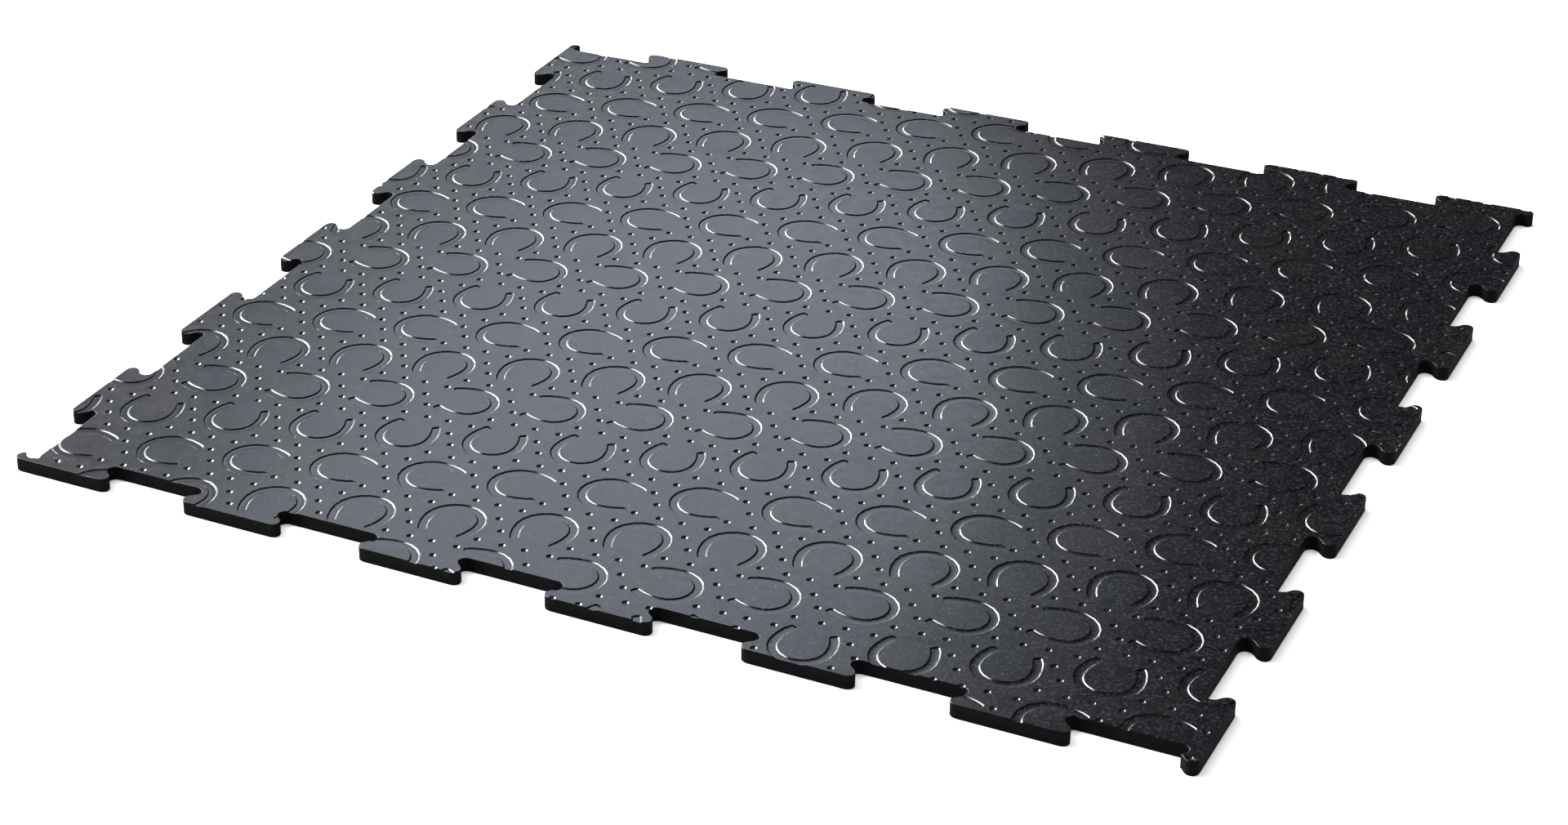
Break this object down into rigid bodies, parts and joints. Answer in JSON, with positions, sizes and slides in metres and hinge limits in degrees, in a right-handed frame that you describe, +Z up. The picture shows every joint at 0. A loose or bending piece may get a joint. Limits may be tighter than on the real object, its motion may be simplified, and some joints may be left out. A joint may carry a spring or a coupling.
{
  "type": "interlocking rubber stable mat",
  "caption": "Square black rubber floor mat with dovetail tabs and recesses on all sides and shallow horseshoe grooves in its top.",
  "frame": {"origin": "middle of the laid square, on the flat underside, at floor level", "axes": "+Z up through the thickness, -Y towards the front edge, -X towards the left edge"},
  "size_m": [1.0246, 1.0246, 0.012],
  "materials": {
    "black_rubber": "matt black rubber with a dull bluish-grey sheen and a fine leathery grain"
  },
  "bodies": {
    "root": {"stable_mat": "black_rubber"}
  },
  "joints": []
}
